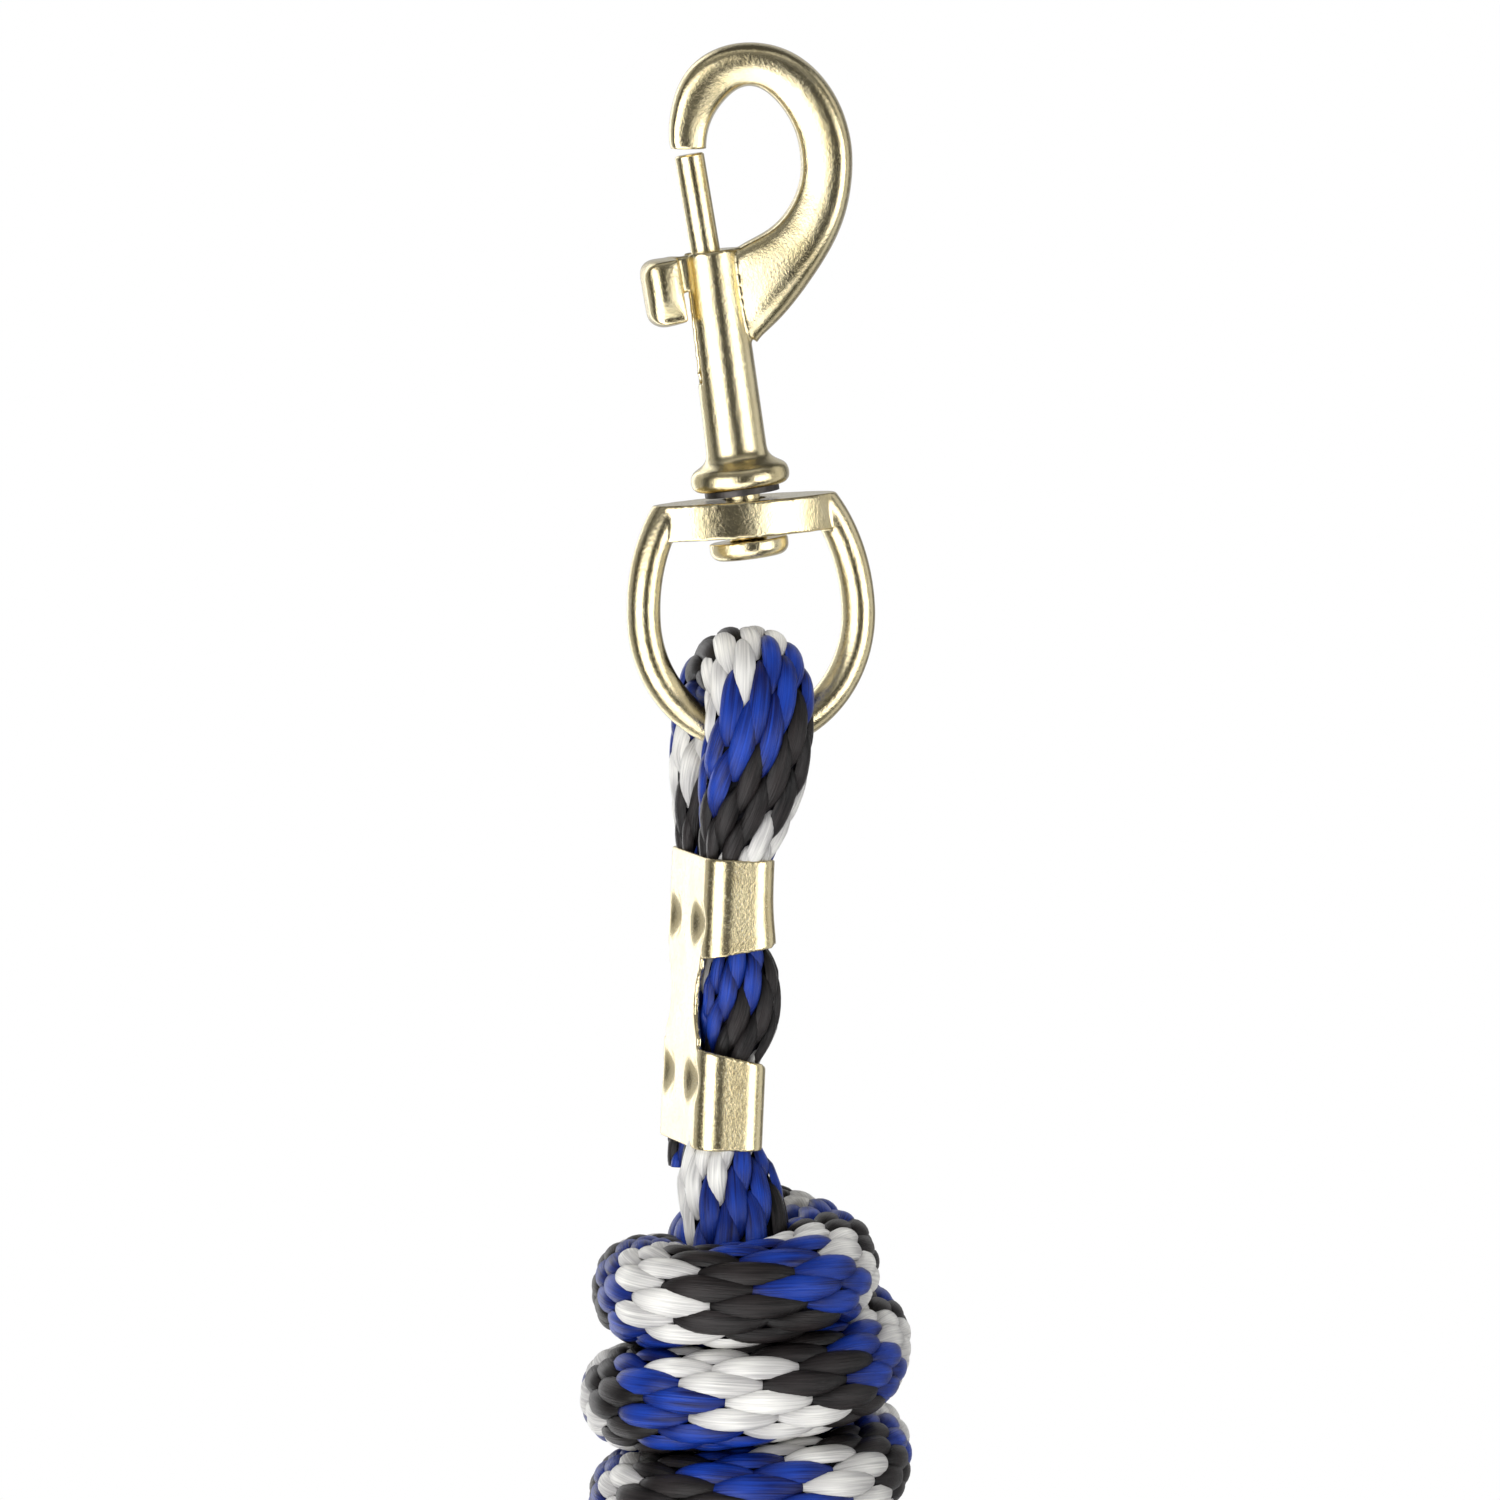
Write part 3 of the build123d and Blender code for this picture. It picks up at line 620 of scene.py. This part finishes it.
def rope_material(name, dark, light, roughness, shine):
    """Silky filament yarn: fine lines along the stitch, a painted highlight towards one end, and
    painted shade in the clefts at its edges and tips.
    """
    material, tree, shader = new_material(name)
    fibres = stretched_noise(tree, FIBRE_SCALE, 4.0)
    bundles = stretched_noise(tree, BUNDLE_SCALE, 2.0)
    lines = math_node(tree, "MULTIPLY", bundles, 1 - FIBRE_SHARE)
    lines = math_node(tree, "MULTIPLY_ADD", fibres, FIBRE_SHARE, lines)
    tone = node(tree, "ShaderNodeAttribute", attribute_name="tone")
    split = tree.nodes.new("ShaderNodeSeparateXYZ")
    link(tree, tone.outputs["Vector"], split.inputs["Vector"])
    u, v, luck = split.outputs
    # A painted highlight: a lighter band across each stitch towards one end, shifted by the bundles
    wavy = math_node(tree, "SUBTRACT", u, HIGHLIGHT_PLACE)
    wavy = math_node(tree, "MULTIPLY_ADD", bundles, HIGHLIGHT_WAVER, wavy)
    painted_highlight = math_node(tree, "POWER", math_node(tree, "ABSOLUTE", wavy), 2.0)
    painted_highlight = math_node(tree, "EXPONENT", math_node(tree, "MULTIPLY", painted_highlight, -HIGHLIGHT_FALL))
    # Painted shade: darker towards the stitch's long edges and tips, where it dives under its
    # neighbours
    edge = math_node(tree, "POWER", math_node(tree, "ABSOLUTE", v), EDGE_POWER)
    end = math_node(tree, "POWER", math_node(tree, "ABSOLUTE", u), END_POWER)
    painted_cleft_shade = math_node(tree, "MULTIPLY", math_node(tree, "ADD", edge, end), -CLEFT_SHADE)
    shade = math_node(tree, "MULTIPLY_ADD", painted_highlight, PAINTED_HIGHLIGHT, painted_cleft_shade)
    for source, strength, middle in (
        (lines, LINE_CONTRAST, LINE_MIDDLE), (luck, STITCH_LUCK, STITCH_LUCK / 2),
    ):
        change = math_node(tree, "MULTIPLY_ADD", source, strength, -middle)
        shade = math_node(tree, "ADD", shade, change)
    stops = [(0.0, dark), (0.5, mixed(dark, light)), (1.0, light)]
    link(tree, ramp(tree, shade, stops), shader.inputs["Base Color"])
    bump = node(tree, "ShaderNodeBump", Strength=1.0, Distance=FIBRE_HEIGHT * MM)
    link(tree, lines, bump.inputs["Height"])
    link(tree, bump.outputs["Normal"], shader.inputs["Normal"])
    tangent = node(tree, "ShaderNodeTangent", direction_type="UV_MAP", uv_map="stitch")
    link(tree, tangent.outputs["Tangent"], shader.inputs["Tangent"])
    shader.inputs["Roughness"].default_value = roughness
    shader.inputs["Specular IOR Level"].default_value = shine
    shader.inputs["Anisotropic"].default_value = SHEEN_DIRECTION
    return material


# Patches, pits and grain in the plating, per metre
PATCH_SCALE, PIT_SCALE, GRAIN_SCALE = 170.0, 900.0, 2300.0
PIT_STRENGTH, PIT_WIDTH = 0.25, 0.12
ROUGHNESS_SPREAD = (0.75, 1.6)


def metal_material(name, tint, worn, roughness, grain, lumps):
    """Plated casting: fine pitted grain, soft lumps, and a duller tone in patches."""
    material, tree, shader = new_material(name)
    place = node(tree, "ShaderNodeTexCoord")
    big = node(tree, "ShaderNodeTexNoise", Scale=PATCH_SCALE, Detail=3.0, Roughness=0.55)
    small = node(tree, "ShaderNodeTexNoise", Scale=GRAIN_SCALE, Detail=4.0, Roughness=0.7)
    pits = node(tree, "ShaderNodeTexVoronoi", Scale=PIT_SCALE)
    for texture in (big, small, pits):
        link(tree, place.outputs["Object"], texture.inputs["Vector"])
    link(tree, ramp(tree, big.outputs["Fac"], [(0.3, worn), (0.62, tint)]), shader.inputs["Base Color"])
    spread = [roughness * share for share in ROUGHNESS_SPREAD]
    link(tree, map_range(tree, small.outputs["Fac"], (0.3, 0.75), spread), shader.inputs["Roughness"])
    hollows = ramp(tree, pits.outputs["Distance"], [(0.0, grey(0.0)), (PIT_WIDTH, grey(1.0))])
    normal = None
    for source, strength, depth in (
        (hollows, PIT_STRENGTH, grain),
        (small.outputs["Fac"], 1.0, grain),
        (big.outputs["Fac"], 1.0, lumps),
    ):
        bump = node(tree, "ShaderNodeBump", Strength=strength, Distance=depth * MM)
        link(tree, source, bump.inputs["Height"])
        if normal:
            link(tree, normal, bump.inputs["Normal"])
        normal = bump.outputs["Normal"]
    link(tree, normal, shader.inputs["Normal"])
    shader.inputs["Metallic"].default_value = 1.0
    return material


# Dark and light ends of the yarn's colour, between which the fibre lines, each stitch's tone, the
# painted highlight and the painted shade move; roughness, specular level
WHITE_YARN = rope_material("white_yarn", (0.40, 0.39, 0.39), (0.97, 0.96, 0.91), 0.36, 0.6)
BLUE_YARN = rope_material("blue_yarn", (0.002, 0.004, 0.06), (0.011, 0.058, 0.44), 0.28, 0.3)
BLACK_YARN = rope_material("black_yarn", (0.002, 0.0018, 0.002), (0.030, 0.025, 0.025), 0.30, 0.26)
# The core's near-black colour is painted shade for the gaps between the stitches
CORE_SHADE_YARN = rope_material("core_painted_shade", (0.002, 0.002, 0.003), (0.01, 0.01, 0.014), 0.8, 0.1)
# Plating, its duller patches, roughness, and the depths of its grain and its lumps
BRASS = metal_material("plated_brass", (0.85, 0.745, 0.475), (0.78, 0.66, 0.38), 0.09, 0.055, 0.09)
CLAMP_BRASS = metal_material("satin_brass", (0.86, 0.75, 0.47), (0.78, 0.65, 0.37), 0.2, 0.034, 0.06)
DARK_STEEL = metal_material("dark_steel", (0.13, 0.12, 0.12), (0.07, 0.065, 0.06), 0.4, 0.03, 0.03)
SPRING_STEEL = metal_material("spring_steel", (0.5, 0.5, 0.51), (0.4, 0.4, 0.41), 0.25, 0.01, 0.01)


def paint(piece, material):
    """Gives the whole piece one material."""
    piece.data.materials.clear()
    piece.data.materials.append(material)


# ---------------------------------------------------------------- pieces
core = make_core()
white, blue, black = make_braid()
paint(core, CORE_SHADE_YARN)
paint(white, WHITE_YARN)
paint(blue, BLUE_YARN)
paint(black, BLACK_YARN)
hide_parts("rope_eye_loop", "rope_in_clamp", "rope_tail_end", "rope_neck", "rope_hank")

# ---------------------------------------------------------------- metal
DENT_ACROSS, DENT_HEIGHTS = 6.4, (-9.6, -32.1)
DENT_RADIUS, DENT_DEPTH = 4.1, 0.6
FLARE_HEIGHT, FLARE_REACH, FLARE = -13.5, 5.0, 0.8
# Middle of the knob, its outward direction reversed, and the way it slides
KNOB = ((-13.05, -0.55, -28.3), (0.97100, 0.17365, 0.16423), (-0.16677, 0.0, 0.98600))
KNOB_HALF = (3.6, 3.7, 4.8)
KNOB_SWELL, END_SWELL = 0.75, 0.375
KNOB_SQUARENESS = 2.2                    # how soon the swell reaches its full height
BOLT_DOWN, BOLT_TRAVEL = (0.16677, 0.0, -0.98600), 12.5
SMOOTHING = 0.5


def in_part(place, points):
    """Coordinates of vertices (metres) in one of the named frames (millimetres), and its axes."""
    origin, axes = axes_of(place)
    return (points / MM - origin) @ axes.T, axes


def dented(points):
    """The punch marks in the clamp's broad face, and the flare of the sheet beside its window."""
    local, axes = in_part(CLAMP, points)
    pressed = np.zeros(len(points))
    for across in (-DENT_ACROSS, DENT_ACROSS):
        for height in DENT_HEIGHTS:
            reach = np.hypot(local[:, 1] - across, local[:, 2] - height) / DENT_RADIUS
            pressed += DENT_DEPTH * np.clip(1 - reach**2, 0, 1) ** 1.5
    pressed[local[:, 0] > 0] = 0
    flare = FLARE * np.exp(-(((local[:, 2] - FLARE_HEIGHT) / FLARE_REACH) ** 2))
    flare *= np.clip(local[:, 0] / FLARE_REACH, 0, 1)
    return points + MM * np.outer(pressed + flare, axes[0])


def pillowed(points):
    """The knob's flat faces swell into a pillow."""
    local, axes = in_part(KNOB, points)
    x, y, z = (local / np.array(KNOB_HALF)).T
    free = np.clip((1 - x) / 0.5, 0, 1)      # the side next to the barrel stays flat
    swell = KNOB_SWELL * np.clip(1 - z**2, 0, 1) * np.clip(1 - x**2, 0, 1) * free
    moved = np.outer(swell * np.clip(KNOB_SQUARENESS * y, -1, 1), axes[1])
    ends = END_SWELL * np.clip(1 - y**2, 0, 1) * np.clip(1 - x**2, 0, 1)
    moved += np.outer(ends * np.clip(KNOB_SQUARENESS * z, -1, 1), axes[2])
    return points + MM * moved


def copy_of(cad_name, name, material, body):
    """A painted copy of a CAD node, shown in its place."""
    piece = bpy.data.objects.new(name, nodes[cad_name].data.copy())
    bpy.context.scene.collection.objects.link(piece)
    paint(piece, material)
    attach(piece, body)
    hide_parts(cad_name)
    return piece


def softened(cad_name, name, body, material, voxel, rounds, reshape=None):
    """A copy of a CAD node with the soft edges of a casting; reshape moves its points."""
    piece = copy_of(cad_name, name, material, body)
    remesh = piece.modifiers.new("remesh", "REMESH")
    remesh.mode, remesh.voxel_size = "VOXEL", voxel * MM
    smooth = piece.modifiers.new("smooth", "SMOOTH")
    smooth.factor, smooth.iterations = SMOOTHING, rounds
    graph = bpy.context.evaluated_depsgraph_get()
    final = bpy.data.meshes.new_from_object(piece.evaluated_get(graph))
    final.polygons.foreach_set("use_smooth", np.ones(len(final.polygons), bool))
    piece.modifiers.clear()
    piece.data = final
    if reshape:
        points = np.empty(3 * len(final.vertices), np.float32)
        final.vertices.foreach_get("co", points)
        points = reshape(points.reshape(-1, 3).astype(float))
        final.vertices.foreach_set("co", points.astype(np.float32).ravel())
        final.update()
    paint(piece, material)


def make_spring():
    """The spring under the bolt: a painted copy of its CAD node, given a mesh of its own."""
    spring = copy_of("bolt_spring", "return_spring", SPRING_STEEL, "snap")
    points = np.array([vertex.co for vertex in spring.data.vertices])
    along = points @ np.array(BOLT_DOWN)
    tuple(points[along.argmax()])
    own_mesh(spring)


# Voxel size, then rounds of smoothing
softened("snap_body", "hook_and_barrel", "snap", BRASS, 0.25, 5)
softened("swivel_ring", "eye_ring", "ring", BRASS, 0.25, 5)
softened("swivel_stud", "stud", "snap", BRASS, 0.2, 5)
softened("thumb_stud", "thumb_knob", "bolt", BRASS, 0.16, 40, pillowed)
softened("rope_clamp", "clamp", "rope", CLAMP_BRASS, 0.25, 4, dented)
for cad_name, material in (("bolt", BRASS), ("swivel_washer", DARK_STEEL)):
    paint(nodes[cad_name], material)
make_spring()

# ---------------------------------------------------------------- studio
AMBIENT = 0.085
# Azimuth from the camera's side (+ to the right), elevation, soft edge (degrees), strength
WINDOWS = [
    ((-63, -14), (-36, 14), 2.0, 2.9),      # left and right boxes
    ((36, 74), (-24, 14), 2.0, 2.9),
    ((-64, 34), (-88, -27), 3.0, 1.9),      # pale floor in front
    ((-190, -104), (-90, 36), 5.0, 0.45),   # wall behind, with a box on each side
    ((-158, -142), (-60, 40), 3.0, 1.7),
    ((90, 126), (-60, 40), 4.0, 0.62),
    ((150, 190), (-90, 36), 5.0, 0.45),
    ((-80, 70), (26, 40), 5.0, 0.22),       # dim strips overhead
    ((-95, 80), (50, 62), 5.0, 0.7),
]


def window(tree, value, span, soft):
    """1 inside a span of values, falling to 0 outside it."""
    low, high = span
    rise = map_range(tree, value, (low - soft, low + soft), (0, 1), "SMOOTHSTEP")
    fall = map_range(tree, value, (high + soft, high - soft), (0, 1), "SMOOTHSTEP")
    return math_node(tree, "MULTIPLY", rise, fall)


def for_camera(tree, seen, unseen, surface):
    """What the camera sees, and what lights and reflections see instead."""
    path = tree.nodes.new("ShaderNodeLightPath")
    mix = tree.nodes.new("ShaderNodeMixShader")
    sources = path.outputs["Is Camera Ray"], unseen.outputs[0], seen.outputs[0]
    for source, target in zip(sources, mix.inputs):
        link(tree, source, target)
    link(tree, mix.outputs[0], surface)


def make_world():
    """The soft boxes as the metal reflects them; the camera sees plain white."""
    world = bpy.data.worlds.new("studio")
    bpy.context.scene.world = world
    world.use_nodes = True
    tree = world.node_tree
    tree.nodes.clear()
    place = tree.nodes.new("ShaderNodeTexCoord")
    split = tree.nodes.new("ShaderNodeSeparateXYZ")
    link(tree, place.outputs["Generated"], split.inputs["Vector"])
    x, y, z = split.outputs
    azimuth = math_node(tree, "ARCTAN2", x, math_node(tree, "MULTIPLY", y, -1.0))
    azimuth = math_node(tree, "MULTIPLY", azimuth, 180 / math.pi)
    height = math_node(tree, "MULTIPLY", math_node(tree, "ARCSINE", z), 180 / math.pi)
    level = AMBIENT
    for across, upright, soft, strength in WINDOWS:
        part = window(tree, azimuth, across, soft), window(tree, height, upright, soft)
        level = math_node(tree, "MULTIPLY_ADD", math_node(tree, "MULTIPLY", *part), strength, level)
    studio = node(tree, "ShaderNodeBackground", Strength=1.0)
    link(tree, level, studio.inputs["Color"])
    plain = node(tree, "ShaderNodeBackground", Strength=1.0, Color=(1, 1, 1, 1))
    output = tree.nodes.new("ShaderNodeOutputWorld")
    for_camera(tree, plain, studio, output.inputs["Surface"])


FLOOR_RADIUS, FLOOR_HEIGHT = 1.25, -0.47     # metres


def make_floor():
    """A plain white floor, which the metal does not reflect."""
    bpy.ops.mesh.primitive_circle_add(
        vertices=96, radius=FLOOR_RADIUS, fill_type="NGON", location=(0, 0, FLOOR_HEIGHT)
    )
    floor = bpy.context.object
    floor.name = "floor"
    material, tree, shader = new_material("floor")
    shader.inputs["Base Color"].default_value = (0.9, 0.9, 0.9, 1)
    shader.inputs["Roughness"].default_value = 0.8
    shader.inputs["Emission Color"].default_value = (1, 1, 1, 1)
    shader.inputs["Emission Strength"].default_value = 0.8
    clear = tree.nodes.new("ShaderNodeBsdfTransparent")
    for_camera(tree, shader, clear, tree.nodes["Material Output"].inputs["Surface"])
    paint(floor, material)


def add_light(name, place, size, power):
    """A soft light for the rope; the metal shows only the studio's own boxes."""
    data = bpy.data.lights.new(name, "AREA")
    data.shape, data.size, data.energy = "DISK", size, power
    lamp = bpy.data.objects.new(name, data)
    lamp.location = place
    aim = VIEW_CENTRE - Vector(place)
    lamp.rotation_euler = aim.to_track_quat("-Z", "Y").to_euler()
    lamp.visible_camera = lamp.visible_glossy = False
    bpy.context.scene.collection.objects.link(lamp)


make_world()
make_floor()
add_light("overhead", (-0.35, -0.45, 0.75), 0.5, 5.0)
add_light("back_fill", (0.5, 0.8, 0.4), 0.7, 4.0)
bpy.context.scene.view_settings.view_transform = "Standard"
bpy.context.scene.view_settings.look = "None"
